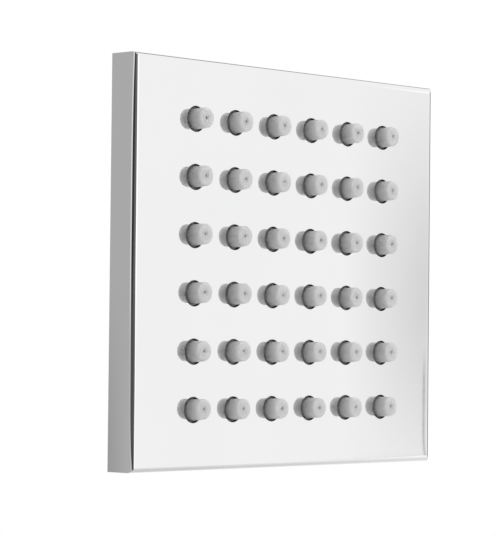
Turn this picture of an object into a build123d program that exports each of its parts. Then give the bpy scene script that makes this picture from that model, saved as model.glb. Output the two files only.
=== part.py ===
import os

from build123d import *

# Wall body spray: a shallow chrome-plated brass pan that sits flush on a wall, with a grid of silicone
# nozzles standing through its face, a water chamber behind them and a screwed inlet into the wall.
# Sizes are in millimetres. The pieces are drawn with x to the right, y up and z out of the wall, whose
# surface is z = 0, and are then stood up so that the wall is the XZ plane and the spray goes along -Y.

# Nozzle grid
nozzle_columns = 6
nozzle_rows = 6
nozzle_pitch = 14.1
nozzle_base_radius = 2.6
nozzle_tip_radius = 2.5
nozzle_height = 3.6
nozzle_tip_rounding = 0.5
nozzle_bore_radius = 1.6
nozzle_bore_taper = 0.5
nozzle_end_wall = 1.0
jet_radius = 0.35
jet_dimple_radius = 0.7
jet_dimple_depth = 0.25
nozzle_gap = 0.5
hole_rounding = 0.2

# Pan
side_margin = 20.8
top_margin = 14.65
wall_thickness = 1.3
face_thickness = 1.0
edge_radius = 1.5
inner_corner_radius = 1.0

# Layers from the wall to the face
bracket_thickness = 1.2
rear_space = 1.3
cover_thickness = 1.3
chamber_height = 1.2
jet_plate_thickness = 1.1
mat_thickness = 1.0

# Water chamber
chamber_margin = 2.9
rim_width = 3.6
rim_corner_radius = 3.0
seal_width = 1.2
seal_height = 1.0
seal_gap = 0.1
mat_gap = 0.3
cover_gap = 1.0
cover_corner_radius = 3.0
rib_width = 1.4
rib_height = 0.7
rib_frame_inset = 2.0
collar_wall = 0.5
collar_height = 0.7
collar_gap = 0.1

# Cover screws
screw_radius = 1.25
screw_head_radius = 2.25
screw_head_height = 1.2
screw_head_chamfer = 0.4
screw_tip_gap = 0.3
screw_clearance = 0.2
thread_clearance = 0.05
boss_radius = 2.4
boss_floor = 0.5
side_screw_pitch = 33.0
edge_screw_offset = 25.0
recess_length = 2.6
recess_width = 0.6
recess_depth = 0.7

# Inlet tube, its seals and the flow regulator
tube_radius = 6.3
tube_bore_radius = 4.2
tube_reach = 13.0
tube_root_radius = 0.2
tube_clearance = 0.2
ring_count = 2
ring_first_depth = 3.0
ring_spacing = 3.6
ring_groove_depth = 1.2
ring_groove_width = 2.0
ring_clearance = 0.02
regulator_wall = 1.3
regulator_length = 3.2
regulator_floor = 1.0
regulator_post_radius = 1.6
regulator_groove_width = 2.0
regulator_hole_radius = 0.6
regulator_hole_count = 8
regulator_clearance = 0.05

# Wall nipple with a half-inch parallel pipe thread, and its strainer
thread_radius = 20.955 / 2
thread_chamfer = 1.0
neck_clearance = 0.2
flange_radius = 15.0
flange_gap = 0.3
bore_chamfer = 0.3
key_across_flats = 11.0
key_length = 4.0
tube_end_gap = 0.5
strainer_radius = 7.9
strainer_length = 2.5
strainer_ring_width = 2.0
strainer_screen_thickness = 0.8
strainer_hole_radius = 0.65
strainer_hole_pitch = 1.8
strainer_hole_rings = 2
strainer_holes_per_ring = 6
strainer_clearance = 0.1

# Wall bracket
bracket_width = 76.0
bracket_height = 72.0
bracket_corner_radius = 5.0
bracket_slot_spacing_x = 56.0
bracket_slot_spacing_y = 48.0
bracket_slot_length = 9.0
bracket_slot_width = 4.6
bracket_hole_clearance = 0.2
bend_inner_radius = 0.5
tab_width = 24.0
tab_gap = 0.6
lower_tab_margin = 2.2
hook_lip_gap = 0.3
hook_lip_end_gap = 1.2
tab_notch_gap = 1.0

# Hook lug, set screw and wall seal
lug_width = 18.0
lug_thickness = 1.8
lug_gap = 0.4
set_screw_radius = 1.5
set_screw_socket_flats = 1.5
set_screw_socket_depth = 1.6
set_screw_recess = 0.4
set_screw_boss_wall = 1.0
set_screw_boss_gap = 0.3
wall_seal_width = 2.5
wall_seal_height = 1.0
wall_seal_clearance = 0.2

# Depths of the layers
cover_back = bracket_thickness + rear_space
cover_front = cover_back + cover_thickness
jet_plate_back = cover_front + chamber_height
mat_back = jet_plate_back + jet_plate_thickness
face_back = mat_back + mat_thickness
face_front = face_back + face_thickness
nozzle_tip = face_front + nozzle_height

# Outlines
grid_width = (nozzle_columns - 1) * nozzle_pitch
grid_height = (nozzle_rows - 1) * nozzle_pitch
face_width = grid_width + 2 * side_margin
face_height = grid_height + 2 * top_margin
inner_width = face_width - 2 * wall_thickness
inner_height = face_height - 2 * wall_thickness
chamber_width = grid_width + 2 * chamber_margin
chamber_depth = grid_height + 2 * chamber_margin
rim_width_outer = chamber_width + 2 * rim_width
rim_height_outer = chamber_depth + 2 * rim_width
hole_radius = nozzle_base_radius + nozzle_gap

# Places of the cover screws: midway between the chamber rim and the pan's walls
side_screw_x = (rim_width_outer + inner_width) / 4
edge_screw_y = (rim_height_outer + inner_height) / 4
side_screw_heights = (-side_screw_pitch, 0, side_screw_pitch)
side_screws = [(x, y) for x in (-side_screw_x, side_screw_x) for y in side_screw_heights]
edge_screw_places = (-edge_screw_offset, edge_screw_offset)
edge_screws = [(x, y) for x in edge_screw_places for y in (-edge_screw_y, edge_screw_y)]
screw_places = side_screws + edge_screws
boss_hole_end = face_back - boss_floor
screw_end = boss_hole_end - screw_tip_gap

# Inlet radii and depths behind the wall
nipple_bore_radius = tube_radius + tube_clearance
ring_groove_radius = tube_radius - ring_groove_depth
ring_section_radius = (nipple_bore_radius - ring_groove_radius) / 2 - ring_clearance
ring_mean_radius = (nipple_bore_radius + ring_groove_radius) / 2
ring_depths = [-ring_first_depth - i * ring_spacing for i in range(ring_count)]
regulator_radius = tube_radius - regulator_wall - regulator_clearance
key_front = -tube_reach - tube_end_gap
key_back = key_front - key_length
nipple_end = key_back - strainer_length
neck_radius = thread_radius + neck_clearance
bracket_hole_radius = neck_radius + bracket_hole_clearance
flange_front = cover_back - flange_gap

# Bracket tabs, the lug that hooks on one and the set screw that bears on the other
tab_inner_y = rim_height_outer / 2 + tab_gap
tab_outer_y = tab_inner_y + bracket_thickness
lug_back = wall_seal_height + wall_seal_clearance
lug_front = lug_back + lug_thickness
lip_back = lug_front + hook_lip_gap
set_screw_boss_y = tab_outer_y + set_screw_boss_gap
set_screw_boss_half = set_screw_radius + set_screw_boss_wall
set_screw_depth = wall_seal_height + wall_seal_clearance + set_screw_boss_half
lower_tab_end = set_screw_depth + lower_tab_margin

nozzle_places = GridLocations(nozzle_pitch, nozzle_pitch, nozzle_columns, nozzle_rows)


def plate(width, height, corner, back, front):
    """A plate with rounded corners, parallel to the wall."""
    return Pos(0, 0, back) * extrude(RectangleRounded(width, height, corner), front - back)


def frame_ring(width, height, corner, thickness, back, front):
    """A rounded rectangular ring whose outer size is given, with walls of one thickness."""
    inner_corner = max(corner - thickness, thickness / 4)
    opening = plate(width - 2 * thickness, height - 2 * thickness, inner_corner, back, front)
    return plate(width, height, corner, back, front) - opening


def disc(radius, back, front):
    """A round bar along z."""
    return Pos(0, 0, back) * extrude(Circle(radius), front - back)


def box_between(low, high):
    """A box from its lowest to its highest corner."""
    size = [h - l for l, h in zip(low, high)]
    return Pos(*low) * Box(*size, align=(Align.MIN, Align.MIN, Align.MIN))


def upright_bar(radius, low_y, high_y, depth):
    """A round bar along y at one depth, on the middle line of the pan."""
    return Pos(0, low_y, depth) * Rot(-90, 0, 0) * extrude(Circle(radius), high_y - low_y)


def make_front_shell():
    """The pan: rounded front edges, open back, pierced face, screw bosses, hook lug and set-screw boss."""
    shell = extrude(Rectangle(face_width, face_height), face_front)
    shell = fillet(shell.faces().sort_by(Axis.Z)[-1].edges(), edge_radius)
    shell -= plate(inner_width, inner_height, inner_corner_radius, 0, face_back)
    boss = disc(boss_radius, cover_front, face_back)
    boss -= disc(screw_radius + thread_clearance, cover_front, boss_hole_end)
    shell += [Pos(x, y) * boss for x, y in screw_places]
    wall_y = inner_height / 2
    shell += box_between(
        (-lug_width / 2, tab_outer_y + lug_gap, lug_back),
        (lug_width / 2, wall_y, lug_front),
    )
    shell += box_between(
        (-set_screw_boss_half, -wall_y, set_screw_depth - set_screw_boss_half),
        (set_screw_boss_half, -set_screw_boss_y, set_screw_depth + set_screw_boss_half),
    )
    screw_hole_radius = set_screw_radius + thread_clearance
    shell -= upright_bar(screw_hole_radius, -face_height / 2, -tab_outer_y, set_screw_depth)
    hole = make_nozzle_hole()
    shell -= [place * hole for place in nozzle_places]
    return shell


def make_nozzle_hole():
    """The hole for one nozzle, which flares into the polished face with a small rounding."""
    outline = Polyline(
        (0, face_back),
        (hole_radius, face_back),
        (hole_radius, face_front - hole_rounding),
    )
    flare = RadiusArc(
        (hole_radius, face_front - hole_rounding),
        (hole_radius + hole_rounding, face_front),
        hole_rounding,
    )
    top = Polyline((hole_radius + hole_rounding, face_front), (0, face_front), (0, face_back))
    return revolve(Plane.XZ * make_face(outline + flare + top), Axis.Z)


def make_nozzle():
    """One hollow nozzle: a tapered outside with a rounded tip, a tapered bore and a fine jet outlet."""
    outside = Polyline(
        (0, face_back),
        (nozzle_base_radius, face_back),
        (nozzle_tip_radius, nozzle_tip),
        (0, nozzle_tip),
        close=True,
    )
    profile = make_face(outside)
    profile = fillet(profile.vertices().group_by(Axis.Y)[-1].sort_by(Axis.X)[-1], nozzle_tip_rounding)
    return revolve(Plane.XZ * profile, Axis.Z)


def make_nozzle_bore():
    """The water way through the mat into one nozzle."""
    bore_end = nozzle_tip - nozzle_end_wall
    outline = Polyline(
        (0, mat_back),
        (nozzle_bore_radius, mat_back),
        (nozzle_bore_radius, face_back),
        (nozzle_bore_radius - nozzle_bore_taper, bore_end),
        (jet_radius, bore_end),
        (jet_radius, nozzle_tip - jet_dimple_depth),
        (jet_dimple_radius, nozzle_tip),
        (0, nozzle_tip),
        close=True,
    )
    return revolve(Plane.XZ * make_face(outline), Axis.Z)


def make_nozzle_mat():
    """A silicone sheet behind the face, moulded in one with all its nozzles."""
    width = rim_width_outer - 2 * mat_gap
    height = rim_height_outer - 2 * mat_gap
    mat = plate(width, height, rim_corner_radius, mat_back, face_back)
    nozzle = make_nozzle()
    bore = make_nozzle_bore()
    mat += [place * nozzle for place in nozzle_places]
    mat -= [place * bore for place in nozzle_places]
    return mat


def make_jet_plate():
    """The stiff plate that clamps the mat, with a collar standing in the bore of each nozzle."""
    collar_radius = nozzle_bore_radius - collar_gap
    jet_plate = plate(rim_width_outer, rim_height_outer, rim_corner_radius, jet_plate_back, mat_back)
    collar = disc(collar_radius, mat_back, mat_back + collar_height)
    way = disc(collar_radius - collar_wall, jet_plate_back, mat_back + collar_height)
    jet_plate += [place * collar for place in nozzle_places]
    jet_plate -= [place * way for place in nozzle_places]
    return jet_plate


def make_seal_ring(extra, back, front):
    """The ring in the middle of the chamber rim, widened by extra on each side."""
    inset = (rim_width - seal_width) / 2 - extra
    return frame_ring(
        rim_width_outer - 2 * inset,
        rim_height_outer - 2 * inset,
        rim_corner_radius,
        seal_width + 2 * extra,
        back,
        front,
    )


def make_chamber_cover():
    """The moulded back of the water chamber, with its rim, ribs and the tube that reaches into the wall."""
    width = inner_width - 2 * cover_gap
    height = inner_height - 2 * cover_gap
    cover = plate(width, height, cover_corner_radius, cover_back, cover_front)
    notch_half = tab_width / 2 + tab_notch_gap
    notch_y = rim_height_outer / 2
    cover -= box_between((-notch_half, notch_y, cover_back), (notch_half, height / 2, cover_front))
    cover -= box_between((-notch_half, -height / 2, cover_back), (notch_half, -notch_y, cover_front))
    rim = frame_ring(
        rim_width_outer, rim_height_outer, rim_corner_radius, rim_width, cover_front, jet_plate_back
    )
    cover += rim - make_seal_ring(seal_gap, jet_plate_back - seal_height, jet_plate_back)
    rib_back = cover_back - rib_height
    cover += frame_ring(
        rim_width_outer - 2 * rib_frame_inset,
        rim_height_outer - 2 * rib_frame_inset,
        rim_corner_radius,
        rib_width,
        rib_back,
        cover_back,
    )
    reach_x = rim_width_outer / 2 - rib_frame_inset - rib_width / 2
    reach_y = rim_height_outer / 2 - rib_frame_inset - rib_width / 2
    start = flange_radius + tab_notch_gap
    for side in (-1, 1):
        low_x, high_x = sorted((side * start, side * reach_x))
        low_y, high_y = sorted((side * start, side * reach_y))
        cover += box_between((low_x, -rib_width / 2, rib_back), (high_x, rib_width / 2, cover_back))
        cover += box_between((-rib_width / 2, low_y, rib_back), (rib_width / 2, high_y, cover_back))
    cover += disc(tube_radius, -tube_reach, cover_back)
    circles = cover.edges().filter_by(GeomType.CIRCLE)
    tube_ends = circles.group_by(lambda edge: abs(edge.radius - tube_radius))[0]
    cover = fillet(tube_ends.sort_by(Axis.Z)[-1], tube_root_radius)
    groove = disc(tube_radius, -ring_groove_width / 2, ring_groove_width / 2)
    groove -= disc(ring_groove_radius, -ring_groove_width / 2, ring_groove_width / 2)
    cover -= [Pos(0, 0, depth) * groove for depth in ring_depths]
    cover -= disc(tube_bore_radius, -tube_reach, cover_front)
    cover -= disc(regulator_radius + regulator_clearance, -tube_reach, -tube_reach + regulator_length)
    hole = disc(screw_radius + screw_clearance, cover_back, cover_front)
    cover -= [Pos(x, y) * hole for x, y in screw_places]
    return cover


def make_cover_screws():
    """The pan-head screws that pull the cover onto the bosses, each with a cross recess."""
    head_back = cover_back - screw_head_height
    screw = disc(screw_head_radius, head_back, cover_back) + disc(screw_radius, cover_back, screw_end)
    rim_edge = screw.faces().sort_by(Axis.Z)[0].edges()
    screw = chamfer(rim_edge, screw_head_chamfer)
    for turn in (0, 90):
        arm = Box(recess_length, recess_width, recess_depth, align=(Align.CENTER, Align.CENTER, Align.MIN))
        screw -= Pos(0, 0, head_back) * Rot(0, 0, turn) * arm
    return Compound([Pos(x, y) * screw for x, y in screw_places])


def make_flow_regulator():
    """A disc that limits the flow: a post in a ring-shaped well, with holes through the well's floor."""
    back = -tube_reach
    front = back + regulator_length
    well_back = front - regulator_floor
    body = disc(regulator_radius, back, front)
    well = disc(regulator_post_radius + regulator_groove_width, back, well_back)
    body -= well - disc(regulator_post_radius, back, well_back)
    circle_radius = regulator_post_radius + regulator_groove_width / 2
    hole = disc(regulator_hole_radius, well_back, front)
    body -= [place * hole for place in PolarLocations(circle_radius, regulator_hole_count)]
    return body


def make_regulator_ring():
    """The elastic ring in the regulator's well, which closes the holes as the pressure rises."""
    section_radius = regulator_groove_width / 2 - regulator_clearance - ring_clearance
    floor = -tube_reach + regulator_length - regulator_floor
    mean_radius = regulator_post_radius + regulator_groove_width / 2
    return Pos(0, 0, floor - section_radius - ring_clearance) * Torus(mean_radius, section_radius)


def make_tube_rings():
    """The rings that seal the tube in the bore of the nipple."""
    ring = Torus(ring_mean_radius, ring_section_radius)
    return Compound([Pos(0, 0, depth) * ring for depth in ring_depths])


def make_inlet_nipple():
    """The brass nipple that screws into the wall: a flange on the bracket and a socket for a hex key."""
    outline = Polyline(
        (nipple_bore_radius + bore_chamfer, flange_front),
        (flange_radius, flange_front),
        (flange_radius, bracket_thickness),
        (neck_radius, bracket_thickness),
        (neck_radius, 0),
        (thread_radius, 0),
        (thread_radius, nipple_end + thread_chamfer),
        (thread_radius - thread_chamfer, nipple_end),
        (strainer_radius + strainer_clearance, nipple_end),
        (strainer_radius + strainer_clearance, key_back),
        (0, key_back),
        (0, key_front),
        (nipple_bore_radius, key_front),
        (nipple_bore_radius, flange_front - bore_chamfer),
        close=True,
    )
    nipple = revolve(Plane.XZ * make_face(outline), Axis.Z)
    key_radius = key_across_flats / 2
    socket = extrude(RegularPolygon(key_radius, 6, major_radius=False), key_length)
    return nipple - Pos(0, 0, key_back) * socket


def make_inlet_strainer():
    """A moulded ring with a pierced screen, pressed into the end of the nipple."""
    body = disc(strainer_radius, nipple_end, key_back)
    body -= disc(strainer_radius - strainer_ring_width, nipple_end, key_back - strainer_screen_thickness)
    hole = disc(strainer_hole_radius, key_back - strainer_screen_thickness, key_back)
    body -= hole
    for ring in range(1, strainer_hole_rings + 1):
        places = PolarLocations(ring * strainer_hole_pitch, ring * strainer_holes_per_ring)
        body -= [place * hole for place in places]
    return body


def make_wall_bracket():
    """A folded sheet: a flat plate on the wall, a hooked tab above and a plain tab below."""
    middle = bracket_thickness / 2
    tab_y = tab_inner_y + middle
    lip_depth = lip_back + middle
    path = FilletPolyline(
        (inner_height / 2 - hook_lip_end_gap, lip_depth),
        (tab_y, lip_depth),
        (tab_y, middle),
        (-tab_y, middle),
        (-tab_y, lower_tab_end),
        radius=bend_inner_radius + middle,
    )
    sheet = extrude(Plane.YZ * trace(path, bracket_thickness), bracket_width / 2, both=True)
    outline = RectangleRounded(bracket_width, bracket_height, bracket_corner_radius)
    outline += Rectangle(tab_width, inner_height)
    bracket = sheet & extrude(outline, face_back)
    bracket -= disc(bracket_hole_radius, 0, bracket_thickness)
    slot = extrude(SlotOverall(bracket_slot_length, bracket_slot_width), bracket_thickness)
    slots = GridLocations(bracket_slot_spacing_x, bracket_slot_spacing_y, 2, 2)
    return bracket - [place * slot for place in slots]


def make_set_screw():
    """The headless screw in the lower edge of the pan, which bears on the bracket's lower tab."""
    low = -face_height / 2 + set_screw_recess
    screw = upright_bar(set_screw_radius, low, -tab_outer_y, set_screw_depth)
    hexagon = RegularPolygon(set_screw_socket_flats / 2, 6, major_radius=False)
    socket = extrude(hexagon, set_screw_socket_depth)
    return screw - Pos(0, low, set_screw_depth) * Rot(-90, 0, 0) * socket


def make_wall_seal():
    """The soft strip inside the pan's back edge, which keeps water from running behind it."""
    return frame_ring(inner_width, inner_height, inner_corner_radius, wall_seal_width, 0, wall_seal_height)


pieces = {
    "front_shell": make_front_shell,
    "nozzle_mat": make_nozzle_mat,
    "jet_plate": make_jet_plate,
    "chamber_seal": lambda: make_seal_ring(0, jet_plate_back - seal_height, jet_plate_back),
    "chamber_cover": make_chamber_cover,
    "cover_screws": make_cover_screws,
    "flow_regulator": make_flow_regulator,
    "regulator_ring": make_regulator_ring,
    "tube_rings": make_tube_rings,
    "inlet_nipple": make_inlet_nipple,
    "inlet_strainer": make_inlet_strainer,
    "wall_bracket": make_wall_bracket,
    "set_screw": make_set_screw,
    "wall_seal": make_wall_seal,
}

os.makedirs("parts", exist_ok=True)
for node, make in pieces.items():
    export_step(Rot(90, 0, 0) * make(), f"parts/{node}.step")
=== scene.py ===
import bpy
import numpy as np
from mathutils import Matrix


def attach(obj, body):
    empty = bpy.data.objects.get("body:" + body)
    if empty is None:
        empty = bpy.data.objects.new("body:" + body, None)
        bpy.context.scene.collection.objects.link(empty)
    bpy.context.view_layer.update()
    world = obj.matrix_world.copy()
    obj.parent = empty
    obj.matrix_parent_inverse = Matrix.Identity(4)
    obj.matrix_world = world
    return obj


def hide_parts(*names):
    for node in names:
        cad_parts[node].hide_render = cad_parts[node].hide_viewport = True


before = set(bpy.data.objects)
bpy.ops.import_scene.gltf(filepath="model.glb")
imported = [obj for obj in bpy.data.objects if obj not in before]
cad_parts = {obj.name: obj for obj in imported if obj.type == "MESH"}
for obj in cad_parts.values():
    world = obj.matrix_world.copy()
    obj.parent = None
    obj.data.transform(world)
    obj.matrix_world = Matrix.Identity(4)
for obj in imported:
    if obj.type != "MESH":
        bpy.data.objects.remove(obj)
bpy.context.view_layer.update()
mm = 0.001


# Wall bracket
# A folded sheet of stainless steel that two or four screws hold on the wall. It is cut and bent, and
# keeps the rolling grain of the sheet, which runs across it.
def add(tree, kind, options=None, **inputs):
    """A new node: options are its own settings, and each input takes a value or another node's socket.
    An input that has no name of its own is given by its number, as in _0."""
    made = tree.nodes.new(kind)
    for key, value in (options or {}).items():
        setattr(made, key, value)
    for key, value in inputs.items():
        socket = made.inputs[int(key[1:])] if key[0] == "_" else made.inputs[key.replace("_", " ")]
        if isinstance(value, bpy.types.NodeSocket):
            tree.links.new(value, socket)
        else:
            socket.default_value = value
    return made


def new_group(name, inputs, outputs):
    """An empty node group with named float, colour or vector sockets, and the two ends inside it."""
    tree = bpy.data.node_groups.new(name, "ShaderNodeTree")
    for side, sockets in (("INPUT", inputs), ("OUTPUT", outputs)):
        for socket_name, kind in sockets.items():
            tree.interface.new_socket(socket_name, in_out=side, socket_type="NodeSocket" + kind)
    return tree, tree.nodes.new("NodeGroupInput").outputs, tree.nodes.new("NodeGroupOutput").inputs


# Mottle: noise of one size, stretched along the axes and spread between two values.
mottle, given, result = new_group(
    "mottle",
    {"Stretch": "Vector", "Size": "Float", "Low": "Float", "High": "Float"},
    {"Value": "Float", "Height": "Float"},
)
place = add(mottle, "ShaderNodeTexCoord").outputs["Object"]
stretched = add(mottle, "ShaderNodeVectorMath", {"operation": "MULTIPLY"}, _0=place, _1=given["Stretch"])
sized = add(
    mottle, "ShaderNodeVectorMath", {"operation": "DIVIDE"}, _0=stretched.outputs[0], _1=given["Size"]
)
cloud = add(mottle, "ShaderNodeTexNoise", Vector=sized.outputs[0], Scale=1.0, Detail=4.0, Roughness=0.55)
spread = add(
    mottle, "ShaderNodeMapRange", Value=cloud.outputs["Fac"],
    From_Min=0.3, From_Max=0.7, To_Min=given["Low"], To_Max=given["High"],
)
mottle.links.new(spread.outputs["Result"], result["Value"])
mottle.links.new(cloud.outputs["Fac"], result["Height"])


def mottled(tree, size, low, high, stretch=(1.0, 1.0, 1.0)):
    """The mottle group placed in a material, with its own size in metres and its own two values."""
    return add(
        tree, "ShaderNodeGroup", {"node_tree": mottle}, Stretch=stretch, Size=size, Low=low, High=high
    ).outputs


def new_material(name):
    """A material, its node tree and its principled shader."""
    material = bpy.data.materials.new(name)
    material.use_nodes = True
    return material, material.node_tree, material.node_tree.nodes["Principled BSDF"]


def shaded(tree, amount, dark, light):
    """A colour that goes from dark to light with an amount from 0 to 1."""
    mix = add(tree, "ShaderNodeMix", {"data_type": "RGBA"}, Factor=amount)
    mix.inputs["A"].default_value = (*dark, 1.0)
    mix.inputs["B"].default_value = (*light, 1.0)
    return mix.outputs["Result"]


def bumped(tree, height, depth):
    """A normal from a height, whose full range stands for a depth in metres."""
    return add(tree, "ShaderNodeBump", Strength=1.0, Distance=depth, Height=height).outputs["Normal"]


def dress(material, *nodes):
    """Gives CAD nodes a material in place of their plain one."""
    for name in nodes:
        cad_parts[name].material_slots[0].material = material


sheet_steel, tree, shader = new_material("sheet_steel")
grain = mottled(tree, 0.9 * mm, 0.24, 0.42, stretch=(0.06, 1.0, 1.0))
tone = mottled(tree, 9 * mm, 0.0, 1.0)
steel_grey = shaded(tree, tone["Value"], (0.47, 0.47, 0.46), (0.60, 0.60, 0.59))
tree.links.new(steel_grey, shader.inputs["Base Color"])
tree.links.new(grain["Value"], shader.inputs["Roughness"])
tree.links.new(bumped(tree, grain["Height"], 0.01 * mm), shader.inputs["Normal"])
shader.inputs["Metallic"].default_value = 1.0
dress(sheet_steel, "wall_bracket")

# Wall seal and sealing rings
# Black rubber: a strip round the pan's back edge, a flat ring in the chamber's rim, two rings on the
# inlet tube and one in the flow regulator. All are moulded, with a dull and slightly dusty skin.
rubber, tree, shader = new_material("black_rubber_skin")
bloom = mottled(tree, 4 * mm, 0.0, 1.0)
skin = mottled(tree, 0.25 * mm, 0.55, 0.8)
rubber_black = shaded(tree, bloom["Value"], (0.012, 0.012, 0.013), (0.036, 0.036, 0.036))
tree.links.new(rubber_black, shader.inputs["Base Color"])
tree.links.new(skin["Value"], shader.inputs["Roughness"])
tree.links.new(bumped(tree, skin["Height"], 0.02 * mm), shader.inputs["Normal"])
dress(rubber, "wall_seal", "chamber_seal", "tube_rings", "regulator_ring")

# Inlet nipple
# Turned brass: a flange that clamps the bracket, a half-inch pipe thread that screws into the wall's
# fitting, a bore for the inlet tube and a hexagon socket to tighten it by.
thread_crest = 10.4775 * mm
thread_pitch = 1.814 * mm
thread_depth = 1.162 * mm
thread_end = 19.0 * mm
nipple_front = -2.2 * mm
nipple_back = 20.0 * mm
flange_radius = 15.0 * mm
flange_back = -1.2 * mm
flange_break = 0.25 * mm
neck_radius = 10.6775 * mm
bore_radius = 6.5 * mm
bore_break = 0.3 * mm
socket_front = 13.5 * mm
socket_back = 17.5 * mm
socket_flats = 11.0 * mm
strainer_seat = 8.0 * mm
thread_steps = 16
nipple_angles = 120


def threaded(depth, angle):
    """The radius of a one-start thread: a ridge with slanted sides and blunted crest and root, which moves
    on by one pitch for each turn. It stays under the cone that breaks the nipple's far end."""
    along = (depth / thread_pitch - angle / (2 * np.pi)) % 1.0
    ridge = np.clip(1.3 * np.abs(2 * along - 1) - 0.15, 0, 1)
    ridge = ridge * ridge * (3 - 2 * ridge) * 0.25 + ridge * 0.75
    fade_in = np.clip(depth / thread_pitch, 0, 1)
    radius = thread_crest - thread_depth * (1 - ridge) * fade_in
    return np.minimum(radius, thread_crest - np.maximum(depth - thread_end, 0))


def hexagon(flats, angle):
    """The distance from the middle of a hexagon to its edge, at each angle."""
    turn = (angle + np.pi / 6) % (np.pi / 3) - np.pi / 6
    return flats / 2 / np.cos(turn)


def closed_loop_faces(rows, columns):
    """The quads of a grid that closes on itself in both directions."""
    here = np.arange(rows * columns).reshape(rows, columns)
    down = np.roll(here, -1, axis=0)
    quads = np.stack([here, down, np.roll(down, -1, axis=1), np.roll(here, -1, axis=1)], axis=-1)
    return quads.reshape(-1, 4)


def new_piece(name, points, faces, material, sharp=40):
    """An object at the origin from whole arrays of points and faces. Edges sharper than an angle in degrees
    stay crisp."""
    mesh = bpy.data.meshes.new(name)
    mesh.from_pydata(points.reshape(-1, 3), [], faces)
    mesh.shade_smooth()
    mesh.set_sharp_from_angle(angle=np.radians(sharp))
    mesh.materials.append(material)
    piece = bpy.data.objects.new(name, mesh)
    bpy.context.scene.collection.objects.link(piece)
    return piece


angle = np.linspace(0, 2 * np.pi, nipple_angles, endpoint=False)[None, :]
thread_depths = np.linspace(0, nipple_back, int(nipple_back / thread_pitch * thread_steps))[:, None]
outside = [
    (nipple_front, bore_radius + bore_break),
    (nipple_front, flange_radius - flange_break),
    (nipple_front + flange_break, flange_radius),
    (flange_back - flange_break, flange_radius),
    (flange_back, flange_radius - flange_break),
    (flange_back, neck_radius),
    (0.0, neck_radius),
]
inside = [(nipple_back, strainer_seat), (socket_back, strainer_seat)]
bore = [(socket_front, bore_radius), (nipple_front + bore_break, bore_radius)]
socket_depths = np.array([[socket_back], [socket_front]])


def turned(stations):
    """Depths and radii of stations that are the same all round."""
    depth, radius = np.array(stations).T[:, :, None]
    return depth, radius + 0 * angle


stations = [
    turned(outside),
    (thread_depths, threaded(thread_depths, angle)),
    turned(inside),
    (socket_depths, hexagon(socket_flats, angle) + 0 * socket_depths),
    turned(bore),
]
depth = np.concatenate([d + 0 * angle for d, r in stations])
radius = np.concatenate([r for d, r in stations])
nipple_points = np.stack([radius * np.cos(angle), depth, radius * np.sin(angle)], axis=-1)

turned_brass, tree, shader = new_material("turned_brass")
lathe = mottled(tree, 0.35 * mm, 0.22, 0.38, stretch=(0.2, 1.0, 0.2))
tarnish = mottled(tree, 5 * mm, 0.0, 1.0)
brass_yellow = shaded(tree, tarnish["Value"], (0.56, 0.38, 0.15), (0.75, 0.55, 0.26))
tree.links.new(brass_yellow, shader.inputs["Base Color"])
tree.links.new(lathe["Value"], shader.inputs["Roughness"])
tree.links.new(bumped(tree, lathe["Height"], 0.008 * mm), shader.inputs["Normal"])
shader.inputs["Metallic"].default_value = 1.0

nipple = new_piece("threaded_nipple", nipple_points, closed_loop_faces(*radius.shape), turned_brass)
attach(nipple, "root")
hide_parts("inlet_nipple")

# Strainer, flow regulator and jet plate
# Off-white acetal mouldings in the water way: a pierced screen in the nipple's end, a disc that limits
# the flow, and the stiff plate that clamps the nozzle mat.
acetal, tree, shader = new_material("acetal")
flow_lines = mottled(tree, 3 * mm, 0.0, 1.0, stretch=(1.0, 1.0, 0.3))
sheen_spots = mottled(tree, 0.4 * mm, 0.36, 0.5)
off_white = shaded(tree, flow_lines["Value"], (0.66, 0.66, 0.63), (0.74, 0.74, 0.71))
tree.links.new(off_white, shader.inputs["Base Color"])
tree.links.new(sheen_spots["Value"], shader.inputs["Roughness"])
tree.links.new(bumped(tree, sheen_spots["Height"], 0.01 * mm), shader.inputs["Normal"])
dress(acetal, "inlet_strainer", "flow_regulator", "jet_plate")

# Chamber cover
# The grey plastic back of the water chamber, moulded in one with its rim, its ribs and the inlet tube.
# Its mould was spark-eroded, which leaves a fine even grain.
grey_plastic, tree, shader = new_material("grained_grey_plastic")
shade = mottled(tree, 12 * mm, 0.0, 1.0)
spark_grain = mottled(tree, 0.22 * mm, 0.42, 0.6)
plastic_grey = shaded(tree, shade["Value"], (0.105, 0.107, 0.11), (0.15, 0.152, 0.155))
tree.links.new(plastic_grey, shader.inputs["Base Color"])
tree.links.new(spark_grain["Value"], shader.inputs["Roughness"])
tree.links.new(bumped(tree, spark_grain["Height"], 0.03 * mm), shader.inputs["Normal"])
dress(grey_plastic, "chamber_cover")

# Cover screws and set screw
# Zinc-plated steel: ten screws that pull the cover onto the pan's bosses, and the headless screw in the
# pan's lower edge that bears on the bracket.
zinc, tree, shader = new_material("zinc_plate")
crystals = mottled(tree, 0.6 * mm, 0.0, 1.0)
scuff = mottled(tree, 1.5 * mm, 0.25, 0.45)
zinc_grey = shaded(tree, crystals["Value"], (0.50, 0.52, 0.55), (0.62, 0.63, 0.64))
tree.links.new(zinc_grey, shader.inputs["Base Color"])
tree.links.new(scuff["Value"], shader.inputs["Roughness"])
tree.links.new(bumped(tree, scuff["Height"], 0.01 * mm), shader.inputs["Normal"])
shader.inputs["Metallic"].default_value = 1.0
dress(zinc, "cover_screws", "set_screw")

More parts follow.
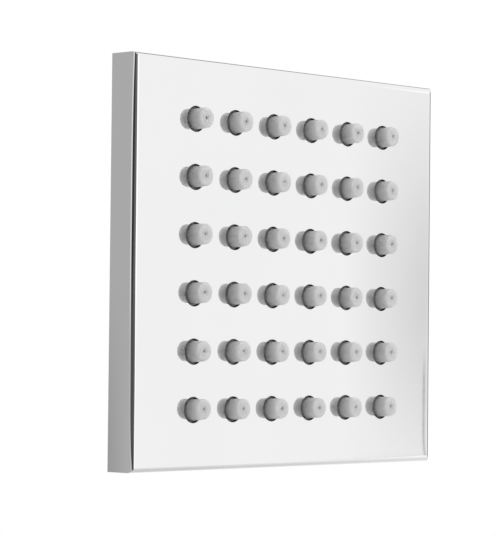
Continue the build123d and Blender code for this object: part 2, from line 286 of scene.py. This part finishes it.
# Nozzle mat
# One sheet of grey silicone rubber, moulded with all its nozzles, which stand through the holes of the
# pan and lean a little, each its own way. It lets light through, and its colour is painted darker towards
# the roots as painted shade, so the free tips are pale and the roots dark. Each tip carries the faint
# rings of its turned mould pin, with painted light and shade on them, round an outlet in a dimple with
# painted shade round the outlet.
nozzle_pitch = 14.1 * mm
nozzle_count = 6
mat_half = 41.45 * mm
mat_corner = 3.0 * mm
mat_back = -6.1 * mm
mat_front = -7.1 * mm
root_radius = 2.6 * mm
root_depth = -8.1 * mm
tip_radius = 2.5 * mm
tip_depth = -11.7 * mm
tip_rounding = 0.5 * mm
ring_spacing = 0.55 * mm
ring_height = 0.03 * mm
dimple_radius = 0.7 * mm
dimple_depth = 0.25 * mm
# Radii between which the painted shade round each outlet fades out.
outlet_shade_inner = 0.6 * mm
outlet_shade_outer = 0.85 * mm
jet_radius = 0.35 * mm
bore_end_radius = 1.1 * mm
bore_end = -10.7 * mm
bore_mouth_radius = 1.6 * mm
nozzle_angles = 48
tip_lean = np.array([0.14, 0.20]) * mm
lean_spread = 0.05 * mm
lean_seed = 6
weld_digits = 8
silicone_reach = 3.0 * mm


def nozzle_section():
    """Radius and depth along a nozzle's section, from its root over the rounded tip and down its bore. The
    tip's end has rings, whose height is a cosine of the radius, round a dimple with the outlet in it."""
    turn = np.linspace(0, np.pi / 2, 8)
    rounded = tip_radius - tip_rounding * (1 - np.cos(turn))
    rounded_depth = tip_depth + tip_rounding * (1 - np.sin(turn))
    end = np.linspace(tip_radius - tip_rounding, dimple_radius, 18)[1:]
    ripple = (1 - np.cos(2 * np.pi * (end - end[-1]) / ring_spacing)) / 2
    bore = [
        (jet_radius, tip_depth + dimple_depth),
        (jet_radius, bore_end),
        (bore_end_radius, bore_end),
        (bore_mouth_radius, mat_front),
        (bore_mouth_radius, mat_back),
    ]
    bore_radius, bore_depth = np.array(bore).T
    radius = np.concatenate([[root_radius], rounded, end, bore_radius])
    depth = np.concatenate([[mat_front], rounded_depth, tip_depth + ring_height * ripple, bore_depth])
    return radius, depth


def cell_border(direction):
    """Where each nozzle's share of the mat ends, along one axis: halfway to the next nozzle, or at the
    mat's edge. The direction goes round a square, from -1 to 1."""
    place = np.arange(nozzle_count) - (nozzle_count - 1) / 2
    ends = np.clip((place[:, None] + [-0.5, 0.5]) * nozzle_pitch, -mat_half, mat_half)
    middle = place[:, None] * nozzle_pitch
    reach = np.where(direction[None, :] < 0, middle - ends[:, :1], ends[:, 1:] - middle)
    return middle + reach * direction[None, :]


def mat_surface():
    """Points and faces of the whole mat, and each point's distance from its nozzle's axis. Round each axis
    lies a grid of the nozzle's section, which starts and ends at the border of its square share of the
    sheet. The nozzle leans with the square of the height. A strip closes the sheet's edge, whose corners
    are arcs, and points that coincide are then joined."""
    angle = np.linspace(0, 2 * np.pi, nozzle_angles, endpoint=False)
    around = np.stack([np.cos(angle), np.sin(angle)])
    square = around / np.abs(around).max(axis=0)
    border = np.stack(np.broadcast_arrays(
        cell_border(square[0])[:, None, :], cell_border(square[1])[None, :, :]
    ), axis=-1)
    on_edge = np.isclose(np.abs(border).max(axis=-1), mat_half)
    centre = np.sign(border) * (mat_half - mat_corner)
    beyond = border - centre
    in_corner = (np.abs(border) > np.abs(centre)).all(axis=-1) & on_edge
    length = np.where(in_corner, np.linalg.norm(beyond, axis=-1), 1)[..., None]
    border = np.where(in_corner[..., None], centre + mat_corner * beyond / length, border)
    border = np.round(border, weld_digits)

    radius, depth = nozzle_section()
    place = (np.arange(nozzle_count) - (nozzle_count - 1) / 2) * nozzle_pitch
    axis_x, axis_z = np.meshgrid(place, place, indexing="ij")
    x = axis_x[..., None, None] + radius[:, None] * around[0]
    z = axis_z[..., None, None] + radius[:, None] * around[1]
    x = np.concatenate([border[:, :, None, :, 0], x, border[:, :, None, :, 0]], axis=2)
    z = np.concatenate([border[:, :, None, :, 1], z, border[:, :, None, :, 1]], axis=2)
    y = np.concatenate([[mat_front], depth, [mat_back]])[:, None] + 0 * x
    chance = np.random.default_rng(lean_seed)
    lean = tip_lean + chance.normal(0, lean_spread, (nozzle_count, nozzle_count, 2))
    height = np.clip((mat_front - y) / (mat_front - tip_depth), 0, 1) ** 2
    x = x + lean[:, :, None, None, 0] * height
    z = z + lean[:, :, None, None, 1] * height
    cells = np.stack([x, y, z], axis=-1).reshape(-1, 3)
    from_axis = np.concatenate([[nozzle_pitch / 2], radius, [nozzle_pitch / 2]])[:, None] + 0 * x
    stations = len(depth) + 2
    corner = np.arange(len(cells)).reshape(-1, stations, nozzle_angles)
    after = np.roll(corner, -1, axis=2)
    cell_faces = np.stack([corner[:, :-1], after[:, :-1], after[:, 1:], corner[:, 1:]], axis=-1)

    outline = np.unique(border[on_edge], axis=0)
    outline = outline[np.argsort(np.arctan2(outline[:, 1], outline[:, 0]))]
    strip = np.stack([
        np.stack([outline[:, 0], np.full(len(outline), level), outline[:, 1]], axis=-1)
        for level in (mat_front, mat_back)
    ]).reshape(-1, 3)
    front = len(cells) + np.arange(len(outline))
    back = front + len(outline)
    strip_faces = np.stack([front, back, np.roll(back, -1), np.roll(front, -1)], axis=-1)

    points = np.concatenate([cells, strip])
    faces = np.concatenate([cell_faces.reshape(-1, 4), strip_faces])
    from_axis = np.concatenate([from_axis.ravel(), np.full(len(strip), nozzle_pitch / 2)])
    rounded = np.round(points, weld_digits)
    _, first, joined = np.unique(rounded, axis=0, return_index=True, return_inverse=True)
    return points[first], joined.ravel()[faces], from_axis[first]


def calculate(tree, operation, *values):
    """The result of one sum on numbers or other nodes' sockets."""
    numbered = {f"_{place}": value for place, value in enumerate(values)}
    return add(tree, "ShaderNodeMath", {"operation": operation}, **numbered).outputs[0]


def ramp(tree, value, start, end, low=0.0, high=1.0):
    """A straight rise from low at one value to high at another, level before and after."""
    return add(
        tree, "ShaderNodeMapRange", Value=value, From_Min=start, From_Max=end, To_Min=low, To_Max=high
    ).outputs["Result"]


def here(tree):
    """The X, Y and Z of a point of the surface."""
    place = add(tree, "ShaderNodeTexCoord").outputs["Object"]
    return add(tree, "ShaderNodeSeparateXYZ", Vector=place).outputs


silicone, tree, shader = new_material("grey_silicone")
from_axis = add(tree, "ShaderNodeAttribute", {"attribute_name": "from_axis"}).outputs["Fac"]
turns = calculate(tree, "MULTIPLY", from_axis, 2 * np.pi / ring_spacing)
depth_now = here(tree)["Y"]
on_tip = ramp(tree, depth_now, tip_depth + dimple_depth, tip_depth)
# Painted light and shade: the colour rises and falls with the rings on each tip's end.
painted_ring_shading = calculate(tree, "MULTIPLY", calculate(tree, "SINE", turns), on_tip)
cloudy = mottled(tree, 2.5 * mm, -0.1, 0.1)
# Painted shade: the colour is darker towards the roots, deep in the holes, and pale at the free tips.
painted_root_shade = ramp(tree, depth_now, root_depth, tip_depth, 0.1, 0.85)
tone = calculate(tree, "ADD", painted_root_shade, cloudy["Value"])
tone = calculate(tree, "MULTIPLY_ADD", painted_ring_shading, 0.16, tone)
# Painted shade: the colour is darker in the dimple round each outlet.
near_outlet = ramp(tree, from_axis, outlet_shade_outer, outlet_shade_inner)
painted_outlet_shade = calculate(tree, "MULTIPLY", near_outlet, on_tip)
tone = calculate(tree, "MULTIPLY_ADD", painted_outlet_shade, -0.2, tone)
silicone_grey_with_painted_shade = shaded(tree, tone, (0.41, 0.41, 0.41), (0.90, 0.90, 0.90))
tree.links.new(silicone_grey_with_painted_shade, shader.inputs["Base Color"])
dull = mottled(tree, 0.5 * mm, 0.32, 0.46)
tree.links.new(dull["Value"], shader.inputs["Roughness"])
shader.inputs["Subsurface Weight"].default_value = 1.0
shader.inputs["Subsurface Scale"].default_value = silicone_reach
shader.inputs["Subsurface Radius"].default_value = (1.0, 1.0, 1.0)
tree.links.new(bumped(tree, dull["Height"], 0.01 * mm), shader.inputs["Normal"])

mat_points, mat_faces, axis_distances = mat_surface()
mat = new_piece("moulded_nozzle_mat", mat_points, mat_faces, silicone)
spacing = mat.data.attributes.new("from_axis", "FLOAT", "POINT")
spacing.data.foreach_set("value", axis_distances.astype(np.float32))
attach(mat, "root")
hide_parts("nozzle_mat")

# Front shell
# A shallow brass pan, ground, polished and chrome-plated, with rounded front edges and one round hole
# for each nozzle. The plating is bright outside. In the holes the walls are rough, and painted dark as
# painted shade of the deep gap round each nozzle.
hole_reach = 3.15 * mm
hole_lip = -7.92 * mm
lip_blend = 0.06 * mm


def axis_distance(tree):
    """How far a point is from the axis of the nearest nozzle, across the pan's face."""
    place = here(tree)
    offsets = []
    for axis in ("X", "Z"):
        cells = calculate(tree, "MULTIPLY_ADD", place[axis], 1 / nozzle_pitch, nozzle_count / 2)
        nearest = calculate(tree, "MAXIMUM", calculate(tree, "FLOOR", cells), 0.0)
        nearest = calculate(tree, "MINIMUM", nearest, nozzle_count - 1)
        from_cell = calculate(tree, "SUBTRACT", cells, nearest)
        from_middle = calculate(tree, "SUBTRACT", from_cell, 0.5)
        offsets.append(calculate(tree, "MULTIPLY", from_middle, nozzle_pitch))
    across = add(tree, "ShaderNodeCombineXYZ", X=offsets[0], Y=offsets[1])
    length = add(tree, "ShaderNodeVectorMath", {"operation": "LENGTH"}, _0=across.outputs[0])
    return length.outputs["Value"]


chrome, tree, shader = new_material("bright_chrome")
haze = mottled(tree, 30 * mm, 0.0, 1.0)
polish = mottled(tree, 1.2 * mm, 0.01, 0.025)
# Painted shade: below the lip the hole walls are painted near black, as the shade of the gap round each
# nozzle, and are rougher.
in_hole = ramp(tree, axis_distance(tree), hole_reach + lip_blend, hole_reach)
below_lip = ramp(tree, here(tree)["Y"], hole_lip - lip_blend, hole_lip)
painted_hole_shade = calculate(tree, "MULTIPLY", in_hole, below_lip)
plating = shaded(tree, haze["Value"], (0.865, 0.865, 0.868), (0.88, 0.88, 0.88))
metal = add(tree, "ShaderNodeMix", {"data_type": "RGBA"}, Factor=painted_hole_shade)
tree.links.new(plating, metal.inputs["A"])
metal.inputs["B"].default_value = (0.06, 0.06, 0.06, 1.0)
tree.links.new(metal.outputs["Result"], shader.inputs["Base Color"])
gloss = calculate(tree, "MULTIPLY_ADD", painted_hole_shade, 0.5, polish["Value"])
tree.links.new(gloss, shader.inputs["Roughness"])
shader.inputs["Metallic"].default_value = 1.0
dress(chrome, "front_shell")

# Floor
# A plain pale floor well below the part, which hangs clear of it as on a wall. Past the part's own soft
# shadow it runs out into the white of the background.
floor_depth = -0.26
floor_reach = 6.0
shadow_reach = 0.02
floor_blend = 0.58

pale_floor, tree, matt = new_material("pale_floor")
floor_tone = mottled(tree, 0.2, 0.0, 1.0)
floor_grey = shaded(tree, floor_tone["Value"], (0.88, 0.88, 0.88), (0.90, 0.90, 0.90))
tree.links.new(floor_grey, matt.inputs["Base Color"])
matt.inputs["Roughness"].default_value = 0.9


def seen_clear(tree):
    """1 for what the camera sees, straight or in metal or clear things, and 0 for the light on surfaces."""
    path = add(tree, "ShaderNodeLightPath").outputs
    clear = calculate(tree, "MAXIMUM", path["Is Camera Ray"], path["Is Glossy Ray"])
    return calculate(tree, "MAXIMUM", clear, path["Is Transmission Ray"])


flat = add(
    tree, "ShaderNodeVectorMath", {"operation": "MULTIPLY"},
    _0=add(tree, "ShaderNodeTexCoord").outputs["Object"], _1=(1.0, 1.0, 0.0),
)
away = add(tree, "ShaderNodeVectorMath", {"operation": "LENGTH"}, _0=flat.outputs[0])
far = add(
    tree, "ShaderNodeMapRange", {"interpolation_type": "SMOOTHSTEP"}, Value=away.outputs["Value"],
    From_Min=shadow_reach, From_Max=shadow_reach + floor_blend,
)
share = calculate(tree, "MULTIPLY", far.outputs["Result"], seen_clear(tree))
blank = add(tree, "ShaderNodeEmission", Strength=1.0)
blend = add(tree, "ShaderNodeMixShader", _0=share, _1=matt.outputs[0], _2=blank.outputs[0])
tree.links.new(blend.outputs[0], tree.nodes["Material Output"].inputs["Surface"])
edge = np.linspace(-floor_reach, floor_reach, 2)
floor_x, floor_y = np.meshgrid(edge, edge, indexing="ij")
floor_points = np.stack([floor_x, floor_y, np.full_like(floor_x, floor_depth)], axis=-1)
floor = new_piece("floor", floor_points, np.array([[0, 2, 3, 1]]), pale_floor)

# Light tent
# Grey panels to the left and behind, whose reflections make the pan's side grey, a dark one on the right,
# which draws the right edge, and white round the front. The camera looks in through a dark slit, which
# the rounded left edge reflects. The white cloth on the right is a little darker towards the back.
tent_left = -0.85
tent_front = -1.2
tent_back = 0.6
right_front = (0.74, -0.31)
right_back = (0.62, tent_back)
panel_columns = 240
panel_rows = 120
panel_top = 1.4
panel_fade = 0.9
panel_grey = 0.45
panel_dark = 0.10
dark_start = 0.22
dark_blend = 0.1
left_fade = 0.8
right_dark = 0.28
right_rise = 0.3
right_fade = 0.2
right_white = 0.35
right_white_back = 0.22
right_dark_front = 0.30
fold_place = -0.646
fold_width = 0.008
fold_tilt = 0.05
fold_fall = 0.045
fold_top = 0.03
fold_full = -0.09

card_light, tree, _ = new_material("card_light")
tree.nodes.clear()
level = add(tree, "ShaderNodeAttribute", {"attribute_name": "light"}).outputs["Fac"]
glow = add(tree, "ShaderNodeEmission", Color=level, Strength=1.0)
add(tree, "ShaderNodeOutputMaterial", Surface=glow.outputs[0])


def new_card(name, points, light):
    """A studio card from a grid of points, which gives off an even or changing grey light. It shows in
    reflections and lights the part, but the camera looks through it."""
    rows, columns = points.shape[:2]
    corner = np.arange(rows * columns).reshape(rows, columns)
    faces = np.stack([corner[:-1, :-1], corner[1:, :-1], corner[1:, 1:], corner[:-1, 1:]], axis=-1)
    card = new_piece(name, points, faces.reshape(-1, 4), card_light)
    level = card.data.attributes.new("light", "FLOAT", "POINT")
    values = np.broadcast_to(light, (rows, columns)).astype(np.float32)
    level.data.foreach_set("value", values.ravel())
    card.visible_camera = False


def rise(value, start, end):
    """A smooth rise from 0 at the start to 1 at the end."""
    share = np.clip((value - start) / (end - start), 0, 1)
    return share * share * (3 - 2 * share)


def upright_panel(start, end):
    """A vertical sheet from one point of the floor plan to another, from the floor to the panels' top."""
    share = np.linspace(0, 1, panel_columns)[:, None]
    heights = np.linspace(floor_depth, panel_top, panel_rows)[None, :]
    x = start[0] + (end[0] - start[0]) * share + 0 * heights
    y = start[1] + (end[1] - start[1]) * share + 0 * heights
    return np.stack([x, y, heights + 0 * share], axis=-1)


def faded(panel, light):
    """A panel's light, which turns to white over the panel's uppermost part."""
    return light + (1 - light) * rise(panel[..., 2], panel_fade, panel_top)


# The left panel is dark above, and turns white towards the front.
left_panel = upright_panel((tent_left, tent_front), (tent_left, tent_back))
lift = rise(left_panel[..., 2], dark_start, dark_start + dark_blend)
light = panel_grey + (panel_dark - panel_grey) * lift
light = light + (1 - light) * rise(-left_panel[..., 1], left_fade, -tent_front)
new_card("left_panel", left_panel, faded(left_panel, light))
# The back panel has a soft fold below, darker on its right, which shades the pan's side.
back_panel = upright_panel((tent_left, tent_back), right_back)
low_share = rise(-back_panel[..., 2], -fold_top, -fold_full)
across = np.clip((fold_place - back_panel[..., 0]) / fold_width, -1.5, 1.5)
light = panel_grey + low_share * (fold_tilt * across - fold_fall)
new_card("back_panel", back_panel, faded(back_panel, light))
# The right panel is paler towards the back, and its upper front part is white.
right_panel = upright_panel(right_front, right_back)
light = right_dark + (panel_grey - right_dark) * rise(right_panel[..., 1], right_rise, tent_back)
front_share = 1 - rise(right_panel[..., 1], right_white_back, right_dark_front)
light = light + (1 - light) * front_share * rise(right_panel[..., 2], right_fade, right_white)
new_card("right_panel", right_panel, faded(right_panel, light))

# The slit and its rim, on cylinders about the pan's rounded left edge. Inside the slit is the dark room,
# with a grey strip on its right above, paler on the right below and dark at the foot.
edge_centre = np.array([-54.55, -6.6]) * mm
slit_distance = 0.70
slit_first = 17.0
slit_last = 94.0
slit_middle = 0.02
slit_above = 0.136
slit_below = 0.112
slit_slant = 11.0
slant_start = 0.03
slant_end = -0.05
room_dark = 0.035
room_strip = 0.115
room_low = 0.085
room_low_strip = 0.08
room_foot = 0.05
rim_distance = 0.73
rim_last = 118.0
rim_growth = 1.07
rim_light = 0.52
rim_lift = 0.24


def slit(distance, first, last, growth):
    """An upright curved card about the pan's left edge. Its height stays nearly full from the first angle
    and closes at the last: its share of the turn is one less the fifth power of its height above the
    middle, and one less the seventh power of its depth below it. Its lower part is turned to the front.
    Angles are in degrees from the front towards the left."""
    tall = np.linspace(1, 0, 60)[:, None]
    across = np.linspace(-1, 1, 41)[None, :]
    turn = first + (last - first) * (1 - tall**5) + 0 * across
    height = np.where(across > 0, slit_above * tall, slit_below * tall ** (5 / 7))
    height = slit_middle + growth * across * height
    turn = turn - slit_slant * rise(-height, -slant_start, -slant_end)
    x = edge_centre[0] - distance * np.sin(np.radians(turn))
    y = edge_centre[1] - distance * np.cos(np.radians(turn))
    return np.stack([x, y, height], axis=-1), turn, height


slit_points, turn, height = slit(slit_distance, slit_first, slit_last, 1.0)
above = room_dark + room_strip * (1 - rise(turn, 46, 60))
below = room_low + room_low_strip * (1 - rise(turn, 10, 38)) - room_foot * rise(-height, 0.066, 0.08)
new_card("camera_slit", slit_points, below + (above - below) * rise(height, -0.03, 0.03))
# The rim is paler above.
rim_points, turn, height = slit(rim_distance, slit_first, rim_last, rim_growth)
new_card("slit_rim", rim_points, rim_light + rim_lift * rise(height, -0.03, 0.02))

# An upright strip light on the slit's right.
strip_distance = 0.72
strip_first = -9.0
strip_low = -0.10
strip_high = 0.15
strip_bright = 1.2
strip_turn = np.radians(np.linspace(strip_first, slit_first, 12))[:, None]
strip_height = np.linspace(strip_low, strip_high, 2)[None, :]
strip = np.stack([
    edge_centre[0] - strip_distance * np.sin(strip_turn) + 0 * strip_height,
    edge_centre[1] - strip_distance * np.cos(strip_turn) + 0 * strip_height,
    strip_height + 0 * strip_turn,
], axis=-1)
new_card("strip_light", strip, strip_bright)

# The cloth on the right, square to the line in which the face reflects the camera. Its light falls off
# from a start to an end along it and rises again at its edge. The fall fades above and below. A seam runs
# up the lower part and bends at its foot, and the hem is a little darker.
cloth_distance = 0.7
cloth_line = np.array([0.734, -0.679])
cloth_start = 0.033
cloth_end = 0.073
cloth_fall = 0.243
cloth_middle = 0.007
cloth_height = 0.081
edge_start = 0.0768
edge_end = 0.0785
edge_lift = 0.25
seam_place = 0.0750
seam_width = 0.0005
seam_fall = 0.46
seam_top = -0.02
seam_fade = 0.02
bend_top = -0.065
bend_height = 0.014
bend_width = 0.0012
hem_top = 0.074
hem_full = 0.084
hem_fall = 0.16
along = [np.linspace(0.03, 0.07, 20), np.linspace(0.0705, 0.080, 60), np.linspace(0.081, 0.24, 20)]
along = np.concatenate(along)[:, None]
upward = [np.linspace(-0.255, -0.09, 20), np.linspace(-0.0895, -0.06, 60), np.linspace(-0.059, 0.25, 120)]
upward = np.concatenate(upward)[None, :]
fall = np.clip((along - cloth_start) / (cloth_end - cloth_start), 0, 1)
light = 1 - cloth_fall * fall * np.exp(-(((upward - cloth_middle) / cloth_height) ** 2))
bend = np.clip((bend_top - upward) / bend_height, 0, 1) ** 2 * bend_width
seam = np.exp(-(((along - seam_place - bend) / seam_width) ** 2))
seam = seam * np.clip((seam_top - upward) / seam_fade, 0, 1)
light = light + edge_lift * rise(along, edge_start, edge_end)
light = light - seam_fall * seam - hem_fall * fall * rise(-upward, hem_top, hem_full)
cloth = np.stack([
    cloth_line[0] * cloth_distance - cloth_line[1] * along + 0 * upward,
    cloth_line[1] * cloth_distance + cloth_line[0] * along + 0 * upward,
    upward + 0 * along,
], axis=-1)
new_card("right_cloth", cloth, light)

# Daylight and camera
# White light all round, which the camera, metal and clear things see at full strength.
world = bpy.data.worlds.new("white_studio")
bpy.context.scene.world = world
world.use_nodes = True
tree = world.node_tree
tree.nodes.clear()
white = add(tree, "ShaderNodeBackground", Color=(1.0, 1.0, 1.0, 1.0), Strength=1.0)
soft = add(tree, "ShaderNodeBackground", Color=(1.0, 1.0, 1.0, 1.0), Strength=0.95)
either = add(tree, "ShaderNodeMixShader", _0=seen_clear(tree), _1=soft.outputs[0], _2=white.outputs[0])
add(tree, "ShaderNodeOutputWorld", Surface=either.outputs[0])

lens = bpy.data.cameras.new("camera")
lens.lens = 173.38
lens.sensor_width = 36.0
lens.clip_start = 0.01
camera = bpy.data.objects.new("camera", lens)
right = np.array([0.67917, -0.73391, 0.01009])
up = np.array([-0.02841, -0.01255, 0.99952])
back = np.cross(right, up)
pose = np.eye(4)
pose[:3, 0], pose[:3, 1], pose[:3, 2] = right, up, back
pose[:3, 3] = [-0.48383, -0.44080, -0.01898]
camera.matrix_world = Matrix(pose)
bpy.context.scene.collection.objects.link(camera)
bpy.context.scene.camera = camera
bpy.context.scene.view_settings.view_transform = "Standard"
